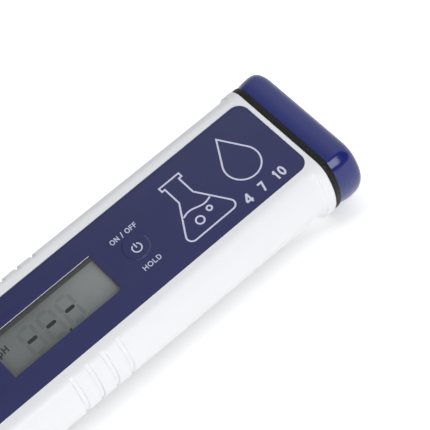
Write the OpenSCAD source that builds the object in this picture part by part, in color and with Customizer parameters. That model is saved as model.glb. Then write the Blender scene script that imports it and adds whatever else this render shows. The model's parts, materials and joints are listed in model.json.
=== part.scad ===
// Pocket digital pH meter: a white sleeve housing with a navy front label, a display, a power key,
// a blue battery cap on a black gasket and a glass electrode under a pull-off protective cap.
// Millimetres. The meter stands on its protective cap: +Z runs up its length, the front faces -Y,
// and the origin is the centre of its bounding box at the bottom.

/* [Overall] */
// Overall height with both caps on
total_h = 150; // [148:0.5:153]
// Width across the rounded sides
body_w = 30; // [29.6:0.1:31]
// Depth from the front flat to the back flat
body_d = 16.5; // [16.3:0.1:17]
// Radius of the rounded sides at the collars and caps
side_r = 12; // [11.6:0.1:12.4]
// Radius that blends the flats into those rounded sides
edge_r = 3.8; // [3.4:0.1:4]
// Height of the protective cap
sensor_cap_h = 40; // [38:0.5:41]
// Height of the battery cap above its gasket
battery_cap_h = 6.0; // [5.6:0.1:6.2]
// Thickness of the gasket under the battery cap
gasket_t = 1.3; // [1.1:0.1:1.7]

/* [Housing] */
// Wall thickness of the housing
wall = 1.8; // [1.7:0.05:1.9]
// Height of the full-width collar at each end of the housing
collar_h = 2.0; // [1.5:0.1:3]
// Radius of the side panels between the collars
panel_r = 10; // [9.8:0.1:10.2]
// How far the side panels lie below the collars
panel_relief = 0.6; // [0.4:0.05:0.65]
// Number of grip grooves on each side
groove_count = 4; // [2:1:5]
// Distance between grip grooves
groove_pitch = 3.5; // [3:0.1:4]
// Depth of a grip groove below the collars
groove_depth = 1.05; // [0.9:0.05:1.1]
// Width of a grip groove's flat floor
groove_floor_w = 0.5; // [0.3:0.1:0.8]

/* [Label and display] */
// Width of the front label
label_w = 19; // [18.4:0.1:19.4]
// Length of the front label
label_h = 78; // [75:0.5:80]
// Corner radius of the front label
label_r = 2.3; // [1:0.1:3]
// How far the label's face lies below the housing's front
label_sink = 0.12; // [0.05:0.01:0.2]
// Distance from the top of the label to the top of the housing
label_drop = 1.0; // [0.8:0.1:1.4]
// Width of the display window
window_w = 9.2; // [8.6:0.1:9.4]
// Length of the display window
window_h = 24.2; // [23:0.1:24.6]
// Distance from the top of the label to the top of the display window
window_drop = 40.9; // [40.5:0.1:42]

/* [Keys] */
// Diameter of the power key
key_d = 5.4; // [5:0.1:5.6]
// Distance from the top of the label to the centre of the power key
key_drop = 33.6; // [33:0.1:34]
// Height of the calibration key above the bottom of the meter
cal_key_z = 99; // [97:0.5:101]
// Travel of both keys
key_travel = 0.35; // [0.2:0.05:0.4]

/* [Batteries] */
// Diameter of a button cell
cell_d = 11.6; // [11.5:0.05:11.6]
// Thickness of a button cell
cell_t = 5.4; // [5.2:0.1:5.4]

/* [Sensor] */
// Outer diameter of the glass electrode's tube
glass_d = 6; // [5.4:0.1:6]
// Diameter of the electrode's pH-sensitive bulb
bulb_d = 7.2; // [6.6:0.1:8]
// Height of the sensor guard's open end above the bottom of the meter
guard_z = 12; // [10.5:0.5:13]

/* [Hidden] */
$fn = 72;
eps = 0.01;      // overshoot that lets a cut pass cleanly through a face
gap = 0.05;      // clearance between parts that fit or slide together
fit = 0.1;       // clearance of a cap over what it covers

// Levels along the height
housing_top = total_h - battery_cap_h - gasket_t;
label_top = housing_top - label_drop;
label_bottom = label_top - label_h;
window_top = label_top - window_drop;
window_z = window_top - window_h / 2;
key_z = label_top - key_drop;
groove_top = label_top - 47.9;

// Levels through the depth
front = -body_d / 2;
label_t = 0.25;
label_front = front + label_sink;
label_floor = label_front + label_t;
wall_inside = front + wall;
pane_margin = 1.35;     // how far the pane runs under the label round the window
rebate_floor = label_floor + 0.8;
frame_t = 0.15;
frame_lip = 0.25;
lcd_front = wall_inside + 0.1;
lcd_t = 1.8;
lcd_w = 13.5;
lcd_h = window_h + 4.8;
board_front = lcd_front + lcd_t + 1.95;
board_t = 1.0;
board_back = board_front + board_t;

// Keys and their switches
skirt_r = key_d / 2 + 0.5;
skirt_t = 0.4;
key_stem_r = 1.2;
switch_h = 1.8;
switch_reach = 2.5;     // from the board to the tip of a switch's stem
switch_floor = 0.4;
switch_stem_r = 1.0;

// Circuit board and chassis
board_w = 22;
board_bottom = sensor_cap_h + 11;
board_top = 114.5;
board_screw_x = 9;
chip_t = 1.3;
board_screw_levels = [board_bottom + 6, key_z - 1.2];
plate_y = board_back + 3.8;
plate_t = 1.2;

// Battery pack
tray_w = 14;
cell_bore_r = cell_d / 2 + gap;
cell_pitch = 12.4;
cell_levels = [122.4, 122.4 + cell_pitch];
tray_bottom = cell_levels[0] - 7;
strip_t = 0.3;
lead_x = 7.85;
lead_w = 1.5;
lead_bottom = 112;

// Battery cap and its screws
cap_bottom = housing_top + gasket_t;
spigot_depth = 1.5;
spigot_wall = 1.2;
spigot_bottom = housing_top - spigot_depth;
screw_x = 10.4;
screw_r = 1.25;
screw_head_r = 2.2;
screw_head_h = 1.6;
screw_seat = total_h - 2.0;
screw_tip = housing_top - 8.6;
post_r = 2.6;
post_web_w = 3;
post_web_t = 2.4;
screw_boss_r = 3.2;
post_top = spigot_bottom - fit;
post_bottom = screw_tip - 2.4;

// Sensor head
neck_bottom = sensor_cap_h - 9;
head_top = board_bottom - 1.05;
neck_inset = 1.7;
plug_inset = wall + fit;
potting_inset = 3.4;
probe_x = 4.2;
glass_top = sensor_cap_h + 6;
guard_r = 5.9;
guard_wall = 0.6;
sensor_cap_wall = 1.6;
sensor_cap_floor = 2.2;
seal_h = 1.6;
seal_groove = 0.9;
neck_seal_z = sensor_cap_h - 5.2;
head_seal_z = sensor_cap_h + 4;
probe_r = 0.9;
junction_r = 0.8;
wire_r = 0.3;
lead_r = 0.8;

// Outline of the meter's cross-section, inset evenly: two flats, two round sides and blended corners
module body_section(inset = 0, round_r = side_r, half_w = body_w / 2, corner_r = edge_r) {
    cx = half_w - round_r;
    r = round_r - inset;
    flat_y = body_d / 2 - inset;
    blend = max(corner_r - inset, 0.4);
    by = flat_y - blend;
    bx = cx + sqrt(pow(r - blend, 2) - pow(by, 2));
    tx = cx + r * (bx - cx) / (r - blend);
    ty = r * by / (r - blend);
    side_w = cx + r - tx + 1;
    polygon([[bx, flat_y], [tx, ty], [tx, -ty], [bx, -flat_y],
        [-bx, -flat_y], [-tx, -ty], [-tx, ty], [-bx, flat_y]]);
    for (side = [-1, 1]) {
        intersection() {
            translate([side * cx, 0]) circle(r);
            translate([side * (tx + side_w / 2), 0]) square([side_w, 2 * ty], center = true);
        }
        for (face = [-1, 1])
            translate([side * bx, face * by]) circle(blend, $fn = 32);
    }
}

// The same outline with plain corners, for inner walls and cores
module core_section(inset) {
    cx = body_w / 2 - side_r;
    r = side_r - inset;
    intersection() {
        square([body_w, body_d - 2 * inset], center = true);
        union() {
            for (side = [-1, 1])
                translate([side * cx, 0]) circle(r);
            square([2 * cx, 2 * r], center = true);
        }
    }
}

// Stands a 2D outline up from one level to another
module rise(from, to) {
    translate([0, 0, from]) linear_extrude(to - from) children();
}

// A ring between two insets of the outline
module section_ring(from, to, outer, inner) {
    rise(from, to) difference() {
        core_section(outer);
        core_section(inner);
    }
}

// Turns an outline drawn in X and Z into a plate between two depths
module plate(near, far) {
    translate([0, far, 0]) rotate([90, 0, 0]) linear_extrude(far - near) children();
}

// A round bar along Y
module cross_bar(x, z, r, near, far) {
    translate([x, far, z]) rotate([90, 0, 0]) cylinder(r = r, h = far - near);
}

// A block given by its two corners
module block(low, high) {
    translate(low) cube(high - low);
}

module rounded_rect(w, h, r) {
    square([w - 2 * r, h], center = true);
    square([w, h - 2 * r], center = true);
    for (x = [-1, 1], y = [-1, 1])
        translate([x * (w / 2 - r), y * (h / 2 - r)]) circle(r, $fn = 48);
}

module label_outline(margin) {
    translate([0, label_top - label_h / 2])
        rounded_rect(label_w + 2 * margin, label_h + 2 * margin, label_r + margin);
}

module window_outline(margin) {
    translate([0, window_z]) square([window_w + 2 * margin, window_h + 2 * margin], center = true);
}

// Flat-bottomed grip grooves that start at the front edge and deepen round each side
module grip_grooves() {
    groove_centre = 3.0;
    floor_r = body_w / 2 - groove_depth - groove_centre;
    reach = 2;
    floor_half = groove_floor_w / 2;
    mouth_half = floor_half + reach * 0.6;
    sweep = 96;
    for (side = [0, 1], i = [0 : groove_count - 1])
        mirror([side, 0, 0])
            translate([groove_centre, 0, groove_top - i * groove_pitch])
                rotate([0, 0, -sweep / 2])
                    rotate_extrude(angle = sweep, $fn = 96)
                        polygon([[floor_r, -floor_half], [floor_r + reach, -mouth_half],
                            [floor_r + reach, mouth_half], [floor_r, floor_half]]);
}

// ---- Housing and front ----

module housing() {
    panel_edge_r = 1.6;
    post_h = post_top - post_bottom;
    web_x = screw_x + post_web_w / 2;
    stop = [2.6, plate_t, 1.5];
    color("white") difference() {
        union() {
            difference() {
                union() {
                    rise(sensor_cap_h, sensor_cap_h + collar_h) body_section();
                    rise(sensor_cap_h + collar_h, housing_top - collar_h)
                        body_section(round_r = panel_r, half_w = body_w / 2 - panel_relief,
                            corner_r = panel_edge_r);
                    rise(housing_top - collar_h, housing_top) body_section();
                }
                rise(sensor_cap_h - 1, housing_top + 1) core_section(wall);
                grip_grooves();
            }
            for (side = [-1, 1]) {
                translate([side * screw_x, 0, post_bottom]) cylinder(r = post_r, h = post_h);
                translate([side * web_x, 0, post_bottom + post_h / 2])
                    cube([post_web_w, post_web_t, post_h], center = true);
                translate([side * 11.6, plate_y + plate_t / 2, board_top + gap * 2 + stop.z / 2])
                    cube(stop, center = true);
            }
        }
        plate(front - 1, label_floor) label_outline(gap);
        plate(front - 1, rebate_floor) window_outline(pane_margin + gap);
        plate(front - 1, wall_inside + 1) window_outline(frame_lip + gap);
        cross_bar(0, key_z, key_d / 2 + gap, front - 1, wall_inside + 0.5);
        cross_bar(0, cal_key_z, key_d / 2 + gap, -wall_inside - 0.5, -front + 1);
        for (side = [-1, 1])
            translate([side * screw_x, 0, post_bottom + 1])
                cylinder(r = screw_r + gap, h = post_h);
    }
}

module front_label() {
    color("midnightblue") plate(label_front, label_floor) difference() {
        label_outline(0);
        window_outline(0);
        translate([0, key_z]) circle(key_d / 2 + gap);
    }
}

module lcd_window() {
    color("lightcyan", 0.4) plate(label_floor + eps, rebate_floor - frame_t - eps)
        window_outline(pane_margin);
}

module window_frame() {
    color("dimgray") {
        plate(rebate_floor - frame_t, rebate_floor) difference() {
            window_outline(pane_margin);
            window_outline(0);
        }
        plate(rebate_floor - eps, wall_inside) difference() {
            window_outline(frame_lip);
            window_outline(0);
        }
    }
}

// ---- Keys ----

module power_button() {
    color("midnightblue") cross_bar(0, key_z, key_d / 2, front + 0.02, label_floor - eps);
}

module power_plunger() {
    skirt_back = wall_inside + gap + skirt_t;
    color("whitesmoke") {
        cross_bar(0, key_z, key_d / 2 - 0.1, label_floor, wall_inside + gap + eps);
        cross_bar(0, key_z, skirt_r, wall_inside + gap, skirt_back);
        cross_bar(0, key_z, key_stem_r, skirt_back - eps, board_front - switch_reach - gap);
    }
}

// A tactile switch's body with the bore that its stem runs in; near and far are its two faces in Y
module switch_body(x, z, near, far, bore_near, bore_far) {
    half = 2.5;
    difference() {
        block([x - half, near, z - half], [x + half, far, z + half]);
        cross_bar(x, z, switch_stem_r + gap, bore_near, bore_far);
    }
}

module power_switch() {
    color("dimgray") switch_body(0, key_z, board_front - switch_h, board_front,
        board_front - switch_h - eps, board_front - switch_floor);
}

module power_switch_stem() {
    color("black") cross_bar(0, key_z, switch_stem_r, board_front - switch_reach,
        board_front - switch_floor - 0.5);
}

module calibration_button() {
    inner = -wall_inside - gap;
    sink = 0.3;
    color("darkslategray") {
        cross_bar(0, cal_key_z, key_d / 2, inner - eps, -front - sink);
        cross_bar(0, cal_key_z, skirt_r, inner - skirt_t, inner);
        cross_bar(0, cal_key_z, key_stem_r, board_back + switch_reach + gap, inner - skirt_t + eps);
    }
}

module calibration_switch() {
    color("dimgray")
        switch_body(0, cal_key_z, board_back, board_back + switch_h,
            board_back + switch_floor, board_back + switch_h + eps);
}

module calibration_switch_stem() {
    color("black") cross_bar(0, cal_key_z, switch_stem_r, board_back + switch_floor + 0.5,
        board_back + switch_reach);
}

// ---- Battery cap and battery pack ----

module battery_cap() {
    crown_h = 3.0;
    crown_in = 3.6;
    foot = 0.35;
    cavity_inset = wall + fit + spigot_wall;
    cavity_h = 2.8;
    color("navy") difference() {
        union() {
            hull() {
                rise(cap_bottom, cap_bottom + eps) body_section(foot, $fn = 64);
                rise(cap_bottom + foot, total_h - crown_h) body_section(0, $fn = 64);
                for (angle = [22.5 : 22.5 : 90])
                    rise(total_h - crown_h * (1 - sin(angle)) - eps, total_h - crown_h * (1 - sin(angle)))
                        body_section(crown_in * (1 - cos(angle)), $fn = 64);
            }
            section_ring(spigot_bottom, cap_bottom + 0.5, wall + fit, cavity_inset);
            for (side = [-1, 1])
                translate([side * screw_x, 0, spigot_bottom])
                    cylinder(r = post_r, h = cap_bottom - spigot_bottom + 0.5);
        }
        difference() {
            rise(cap_bottom - eps, cap_bottom + cavity_h) core_section(cavity_inset);
            for (side = [-1, 1])
                translate([side * screw_x, 0, cap_bottom - 1]) cylinder(r = screw_boss_r, h = cavity_h + 2);
        }
        for (side = [-1, 1]) {
            translate([side * screw_x, 0, spigot_bottom - 1])
                cylinder(r = screw_r + gap, h = total_h - spigot_bottom + 2);
            translate([side * screw_x, 0, screw_seat - screw_head_h])
                cylinder(r = screw_head_r + fit, h = screw_head_h + 3);
        }
    }
}

module cap_gasket() {
    color("black") section_ring(housing_top, cap_bottom, 0.12, wall);
}

// One cap screw: pan head with a cross recess and a plain shank
module cap_screw(side) {
    head_bottom = screw_seat - screw_head_h + 0.02;
    color("silver") translate([side * screw_x, 0, 0]) difference() {
        union() {
            translate([0, 0, screw_tip]) cylinder(r = screw_r, h = head_bottom - screw_tip + eps);
            translate([0, 0, head_bottom]) cylinder(r = screw_head_r, h = screw_head_h);
        }
        for (turn = [0, 90])
            rotate([0, 0, turn]) translate([0, 0, head_bottom + screw_head_h])
                cube([2.6, 0.6, 1.8], center = true);
    }
}

module cap_screw_left() {
    cap_screw(-1);
}

module cap_screw_right() {
    cap_screw(1);
}

module battery_tray() {
    tongue_top = cap_bottom + 2.7;
    tray_top = spigot_bottom - 0.1;
    color("lightgray") difference() {
        union() {
            block([-tray_w / 2, -cell_t, tray_bottom], [tray_w / 2, cell_t, tray_top]);
            block([-tray_w / 2, -4.7, tray_top - eps], [tray_w / 2, 4.7, tongue_top]);
        }
        for (level = cell_levels)
            cross_bar(0, level, cell_bore_r, -cell_t - 1, cell_t + 1);
    }
}

// A button cell with its axis along Y; the narrow pole faces the way that pole says
module button_cell(level, y, pole) {
    step_h = 0.5;
    translate([0, y, level]) rotate([pole * 90, 0, 0]) union() {
        cylinder(r = cell_d / 2, h = cell_t - gap / 2 - step_h);
        cylinder(r = cell_d / 2 - 1.6, h = cell_t - gap / 2);
    }
}

module battery_cell_1() {
    color("silver") button_cell(cell_levels[0], -gap / 4, 1);
}

module battery_cell_2() {
    color("silver") button_cell(cell_levels[0], cell_t - gap / 4, 1);
}

module battery_cell_3() {
    color("silver") button_cell(cell_levels[1], gap / 4, -1);
}

module battery_cell_4() {
    color("silver") button_cell(cell_levels[1], -cell_t + gap / 4, -1);
}

module cell_link() {
    near = cell_t + gap;
    color("gainsboro") plate(near, near + strip_t)
        translate([0, (cell_levels[0] + cell_levels[1]) / 2]) rounded_rect(7, cell_pitch + 8, 1.5);
}

// A contact strip on the pack's front: a pad over one cell and a lead down one side of the tray
module contact_strip(side, level) {
    far = -cell_t - gap;
    tab_z = level - 3;
    plate(far - strip_t, far) {
        translate([0, level]) rounded_rect(7, 8, 1.5);
        translate([side * (lead_x + lead_w / 2) / 2, tab_z])
            square([lead_x + lead_w / 2, 2], center = true);
        translate([side * lead_x, (lead_bottom + tab_z) / 2])
            square([lead_w, tab_z - lead_bottom], center = true);
    }
}

module positive_contact() {
    color("gainsboro") contact_strip(1, cell_levels[1]);
}

module negative_contact() {
    color("gainsboro") contact_strip(-1, cell_levels[0]);
}

// Leaf springs on the board that bear on the pack's two leads
module supply_springs() {
    tip_y = -cell_t - gap + 0.02;
    low_z = lead_bottom - 1.4;
    color("goldenrod") for (side = [-1, 1]) {
        x0 = side * lead_x - lead_w / 2;
        x1 = side * lead_x + lead_w / 2;
        block([x0, board_front - strip_t, low_z], [x1, board_front, low_z + 2.2]);
        block([x0, tip_y, low_z + 1.9], [x1, board_front, low_z + 2.2]);
        block([x0, tip_y, low_z + 1.9], [x1, tip_y + strip_t, low_z + 3.8]);
    }
}

// ---- Electronics ----

module circuit_board() {
    color("darkgreen") difference() {
        block([-board_w / 2, board_front, board_bottom], [board_w / 2, board_back, board_top]);
        for (x = [-board_screw_x, board_screw_x], z = board_screw_levels)
            cross_bar(x, z, 1.1, board_front - 1, board_back + 1);
    }
}

module lcd_panel() {
    glass_t = lcd_t / 2;
    color("darkseagreen") {
        plate(lcd_front, lcd_front + glass_t)
            translate([0, window_z]) square([lcd_w, lcd_h], center = true);
        plate(lcd_front + glass_t - eps, lcd_front + lcd_t)
            translate([0, window_z]) square([lcd_w, lcd_h - 2], center = true);
    }
}

module lcd_holder() {
    rim = 1.5;
    color("gainsboro") plate(lcd_front + fit, board_front) translate([0, window_z]) difference() {
        square([lcd_w + fit + 2 * rim, lcd_h + fit + 2 * rim], center = true);
        square([lcd_w + fit, lcd_h + fit], center = true);
    }
}

module zebra_strips() {
    strip_x = 6;
    half_w = 0.6;
    half_h = 12.5;
    color("hotpink") for (side = [-1, 1])
        block([side * strip_x - half_w, lcd_front + lcd_t + gap, window_z - half_h],
            [side * strip_x + half_w, board_front - gap, window_z + half_h]);
}

// A surface-mounted chip on the board's back, with its leads along both long sides
module chip(x, z, w, h, lead_count, lead_pitch) {
    lead_w = 0.4;
    lead_out = 1.1;
    stand = 0.1;
    block([x - w / 2, board_back + stand, z - h / 2], [x + w / 2, board_back + stand + chip_t, z + h / 2]);
    for (i = [0 : lead_count - 1], side = [-1, 1]) {
        lead_z = z + (i - (lead_count - 1) / 2) * lead_pitch;
        translate([x + side * (w / 2 + lead_out / 2 - stand), board_back + lead_w / 2, lead_z])
            cube([lead_out, lead_w, lead_w], center = true);
    }
}

module microcontroller() {
    color("black") chip(0, 86.5, 9, 9, 9, 0.9);
}

module amplifier() {
    color("black") chip(-4.85, 64.5, 3.9, 5, 4, 1.27);
}

module crystal() {
    can_r = 1.05;
    color("silver") translate([5, board_back + can_r + gap, 66]) cylinder(r = can_r, h = 6.2);
}

module chip_capacitors() {
    size = [1.2, 0.9, 2];
    color("tan") for (x = [-5, -2.6, 2.6, 5], z = [58, 77])
        translate([x, board_back + size.y / 2, z]) cube(size, center = true);
}

module chassis() {
    half_w = 11.5;
    rail_w = 1.2;
    rail_x = half_w - rail_w / 2;
    color("lightslategray") difference() {
        union() {
            block([-half_w, plate_y, board_bottom - 0.95], [half_w, plate_y + plate_t, board_top]);
            for (side = [-1, 1])
                block([side * rail_x - rail_w / 2, board_back, board_bottom],
                    [side * rail_x + rail_w / 2, plate_y + eps, board_top]);
            for (x = [-board_screw_x, board_screw_x], z = board_screw_levels)
                cross_bar(x, z, 2, board_back, plate_y + eps);
        }
        for (x = [-board_screw_x, board_screw_x], z = board_screw_levels)
            cross_bar(x, z, 1, board_back - 1, plate_y - 0.2);
        cross_bar(0, cal_key_z, key_stem_r + gap, plate_y - 1, plate_y + plate_t + 1);
        for (z = [60, 76])
            plate(plate_y - 1, plate_y + plate_t + 1) translate([0, z]) rounded_rect(10, 9, 2);
    }
}

module board_screws() {
    color("silver") for (x = [-board_screw_x, board_screw_x], z = board_screw_levels) {
        cross_bar(x, z, 1.8, board_front - 1.2, board_front);
        cross_bar(x, z, 0.95, board_front - eps, plate_y - 0.6);
    }
}

// ---- Sensor ----

module sensor_head() {
    color("gray") difference() {
        union() {
            rise(neck_bottom, sensor_cap_h) core_section(neck_inset);
            rise(sensor_cap_h - eps, head_top) core_section(plug_inset);
        }
        section_ring(neck_seal_z, neck_seal_z + seal_h, 0, neck_inset + seal_groove);
        section_ring(head_seal_z, head_seal_z + seal_h, 0, plug_inset + seal_groove);
        rise(sensor_cap_h, head_top + 1) core_section(potting_inset);
        translate([0, 0, neck_bottom - 1]) cylinder(r = glass_d / 2 + gap, h = 20);
        translate([-probe_x, 0, neck_bottom - 1]) cylinder(r = probe_r + gap, h = 20);
        translate([probe_x, 0, neck_bottom - 1]) cylinder(r = junction_r + gap, h = 20);
        translate([0, 0, neck_bottom - eps]) difference() {
            cylinder(r = guard_r + gap, h = 3);
            translate([0, 0, -1]) cylinder(r = guard_r - guard_wall - gap, h = 5);
        }
    }
}

// A soft ring in a groove of the sensor head, just short of the wall that it seals against
module seal(z, outer, inner) {
    color("black") section_ring(z + gap, z + seal_h - gap, outer + 0.02, inner + seal_groove - 0.02);
}

module head_seal() {
    seal(head_seal_z, wall, plug_inset);
}

module neck_seal() {
    seal(neck_seal_z, sensor_cap_wall, neck_inset);
}

module glass_electrode() {
    skin = 0.6;
    bulb_z = guard_z + 1.5 + bulb_d / 2;
    color("lightcyan", 0.5) difference() {
        union() {
            translate([0, 0, bulb_z]) sphere(bulb_d / 2);
            translate([0, 0, bulb_z]) cylinder(r = glass_d / 2, h = glass_top - bulb_z);
        }
        translate([0, 0, bulb_z]) sphere(bulb_d / 2 - skin);
        translate([0, 0, bulb_z]) cylinder(r = glass_d / 2 - skin, h = glass_top - bulb_z + 1);
    }
}

module silver_wire() {
    low = guard_z + 5;
    color("silver") translate([0, 0, low]) cylinder(r = wire_r, h = head_top - 2 - low);
}

module reference_junction() {
    color("linen") translate([probe_x, 0, neck_bottom - 1.5]) cylinder(r = junction_r, h = 4);
}

module reference_wire() {
    color("silver") translate([probe_x, 0, neck_bottom + 2.6]) cylinder(r = wire_r, h = 19);
}

module temperature_probe() {
    probe_low = guard_z + 9.5;
    color("silver") translate([-probe_x, 0, probe_low]) union() {
        cylinder(r = probe_r, h = neck_bottom + 7 - probe_low);
        sphere(probe_r);
    }
}

module thermistor_leads() {
    color("firebrick") for (x = [-probe_x - 0.4, -probe_x + 0.4])
        translate([x, 0, neck_bottom + 7.05]) cylinder(r = 0.25, h = 15);
}

module electrode_lead() {
    low = head_top - 1.95;
    bend = board_bottom + 3;
    color("black") {
        translate([0, 0, low]) cylinder(r = lead_r, h = bend - low);
        cross_bar(0, bend - lead_r, 0.5, board_back, 0);
    }
}

module potting() {
    color("saddlebrown") difference() {
        rise(sensor_cap_h + gap, head_top - 0.9) core_section(potting_inset + gap);
        translate([0, 0, sensor_cap_h]) cylinder(r = glass_d / 2 + gap, h = glass_top - sensor_cap_h + gap);
        cylinder(r = lead_r + gap, h = head_top);
        translate([-probe_x, 0, 0]) cylinder(r = probe_r + gap, h = head_top);
        translate([probe_x, 0, 0]) cylinder(r = wire_r + 2 * gap, h = head_top);
    }
}

module sensor_guard() {
    slot_top = neck_bottom - 4.5;
    color("gray") difference() {
        translate([0, 0, guard_z]) cylinder(r = guard_r, h = neck_bottom + 2.9 - guard_z);
        translate([0, 0, guard_z - 1]) cylinder(r = guard_r - guard_wall, h = 40);
        for (turn = [0, 90])
            rotate([0, 0, turn]) block([-2.2, -10, guard_z + 1.6], [2.2, 10, slot_top]);
    }
}

module protective_cap() {
    foot_h = 2.4;
    foot_in = 1.7;
    color("navy") difference() {
        hull() {
            for (angle = [0, 30, 60])
                rise(foot_h * (1 - cos(angle)), foot_h * (1 - cos(angle)) + eps)
                    body_section(foot_in * (1 - sin(angle)), $fn = 64);
            rise(foot_h, sensor_cap_h - gap) body_section(0, $fn = 64);
        }
        rise(sensor_cap_floor, sensor_cap_h + 1) core_section(sensor_cap_wall);
    }
}

module storage_sponge() {
    color("khaki") rise(sensor_cap_floor + gap, 10.5) core_section(sensor_cap_wall + 0.2);
}

housing();
front_label();
lcd_window();
window_frame();
power_button();
power_plunger();
power_switch();
power_switch_stem();
calibration_button();
calibration_switch();
calibration_switch_stem();
battery_cap();
cap_gasket();
cap_screw_left();
cap_screw_right();
battery_tray();
battery_cell_1();
battery_cell_2();
battery_cell_3();
battery_cell_4();
cell_link();
positive_contact();
negative_contact();
supply_springs();
circuit_board();
lcd_panel();
lcd_holder();
zebra_strips();
microcontroller();
amplifier();
crystal();
chip_capacitors();
chassis();
board_screws();
sensor_head();
head_seal();
neck_seal();
glass_electrode();
silver_wire();
reference_junction();
reference_wire();
temperature_probe();
thermistor_leads();
electrode_lead();
potting();
sensor_guard();
protective_cap();
storage_sponge();
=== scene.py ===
"""Looks of a pocket digital pH meter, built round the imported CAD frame. Metres; +Z up, front towards -Y."""
import json
import math

import bmesh
import bpy
from mathutils import Matrix, Vector


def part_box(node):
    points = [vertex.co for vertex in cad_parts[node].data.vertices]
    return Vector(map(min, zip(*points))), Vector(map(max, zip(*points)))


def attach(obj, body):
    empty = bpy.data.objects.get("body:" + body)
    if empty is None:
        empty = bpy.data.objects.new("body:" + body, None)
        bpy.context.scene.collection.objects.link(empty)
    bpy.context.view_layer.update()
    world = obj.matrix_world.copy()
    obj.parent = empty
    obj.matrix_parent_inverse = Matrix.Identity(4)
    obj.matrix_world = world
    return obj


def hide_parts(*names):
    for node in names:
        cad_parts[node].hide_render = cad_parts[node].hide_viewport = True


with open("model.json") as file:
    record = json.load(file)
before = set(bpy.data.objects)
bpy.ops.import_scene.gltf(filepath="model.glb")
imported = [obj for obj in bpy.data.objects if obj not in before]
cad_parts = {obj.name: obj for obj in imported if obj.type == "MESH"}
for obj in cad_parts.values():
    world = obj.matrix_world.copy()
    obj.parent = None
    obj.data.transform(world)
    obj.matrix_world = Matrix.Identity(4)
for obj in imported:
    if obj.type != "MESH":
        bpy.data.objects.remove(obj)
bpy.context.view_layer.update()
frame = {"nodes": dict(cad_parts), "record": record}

MM = 0.001

# ---- Sizes that the frame gives ----


def box(node):
    low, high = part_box(node)
    return Vector(low), Vector(high)


HOUSING_LOW, HOUSING_HIGH = box("housing")
CAP_LOW, CAP_HIGH = box("battery_cap")
GASKET_LOW, GASKET_HIGH = box("cap_gasket")
SENSOR_CAP_LOW, SENSOR_CAP_HIGH = box("protective_cap")
LABEL_LOW, LABEL_HIGH = box("front_label")
PANE_LOW, PANE_HIGH = box("lcd_window")
KEY_LOW, KEY_HIGH = box("power_button")
CAL_LOW, CAL_HIGH = box("calibration_button")
LCD_LOW = box("lcd_panel")[0]
SPONGE_LOW, SPONGE_HIGH = box("storage_sponge")
SCREW_LOW, SCREW_HIGH = box("cap_screw_right")

HALF_W = HOUSING_HIGH.x
HALF_D = HOUSING_HIGH.y
FRONT = HOUSING_LOW.y
BACK = HOUSING_HIGH.y
KEY_CENTRE = (KEY_LOW + KEY_HIGH) / 2
CAL_CENTRE = (CAL_LOW + CAL_HIGH) / 2
SCREW_X = (SCREW_LOW.x + SCREW_HIGH.x) / 2
SCREW_AXES = [Vector((side * SCREW_X, 0, 0)) for side in (-1, 1)]

# ---- Sizes of the looks, all in metres ----

SIDE_R = 12.0 * MM  # radius of the rounded sides at the collars and caps
EDGE_R = 3.8 * MM  # blend between the flats and the sides there
PANEL_R = 10.0 * MM  # radius of the side panels
PANEL_EDGE_R = 2.0 * MM  # blend between the flats and the side panels
WALL = 1.8 * MM  # housing wall
RELIEF = 0.60 * MM  # side panels below the collars
COLLAR = 2.0 * MM  # height of each collar
LEAN_TOP = 0.80 * MM  # how far the side panels' centre lies forward under the top collar
LEAN_LOW = 1.50 * MM  # the same, from LEAN_RUN below the top down
LEAN_RUN = 60 * MM
LEAN_END = 5 * MM  # the side panels are upright this far above the housing's lower end
LEAN_FADE = 30 * MM  # and lean fully from here on upward
GROOVE_COUNT = 4
GROOVE_PITCH = 3.5 * MM
GROOVE_DROP = 47.9 * MM  # from the label's top to the first groove
GROOVE_DEPTH = 1.15 * MM  # below the collars
GROOVE_FLOOR_W = 0.8 * MM
GROOVE_FLANK = 0.22  # how far a groove widens for each unit that it rises
GROOVE_CENTRE = 3.6 * MM  # centre of the circle that the grooves' floors follow
WINDOW_MARGIN = 1.35 * MM  # how far the pane runs under the label
LABEL_R = 2.3 * MM
CLEAR = 0.05 * MM
KEY_SHOULDER = 0.34 * MM  # width of the power key's sloping edge
INK = 0.015 * MM  # thickness of printed ink
POST_R = 2.6 * MM  # screw posts in the housing and columns under the cap
PILOT_R = 1.3 * MM  # bores for the cap screws
HEAD_R = 2.3 * MM  # counterbores for their heads
HEAD_H = 1.6 * MM
PIN = 0.001 * MM  # radius of the pinhole that stands for a pole of a lathed shape
CUT = 1 * MM  # how far a cutting tool reaches past the surface it cuts


# ---- Mesh helpers ----


def link(name, data):
    thing = bpy.data.objects.new(name, data)
    bpy.context.scene.collection.objects.link(thing)
    return thing


def make(name, verts, faces):
    mesh = bpy.data.meshes.new(name)
    mesh.from_pydata([tuple(v) for v in verts], [], faces)
    mesh.validate()
    mesh.update()
    return link(name, mesh)


def soften(thing, angle=32):
    """Smooth shading with the edges sharper than angle kept crisp."""
    work = bmesh.new()
    work.from_mesh(thing.data)
    bmesh.ops.remove_doubles(work, verts=work.verts, dist=1e-7)
    bmesh.ops.recalc_face_normals(work, faces=work.faces)
    limit = math.radians(angle)
    for face in work.faces:
        face.smooth = True
    for edge in work.edges:
        edge.smooth = len(edge.link_faces) == 2 and edge.calc_face_angle(0.0) < limit
    work.to_mesh(thing.data)
    work.free()
    thing.data.update()
    return thing


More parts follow.
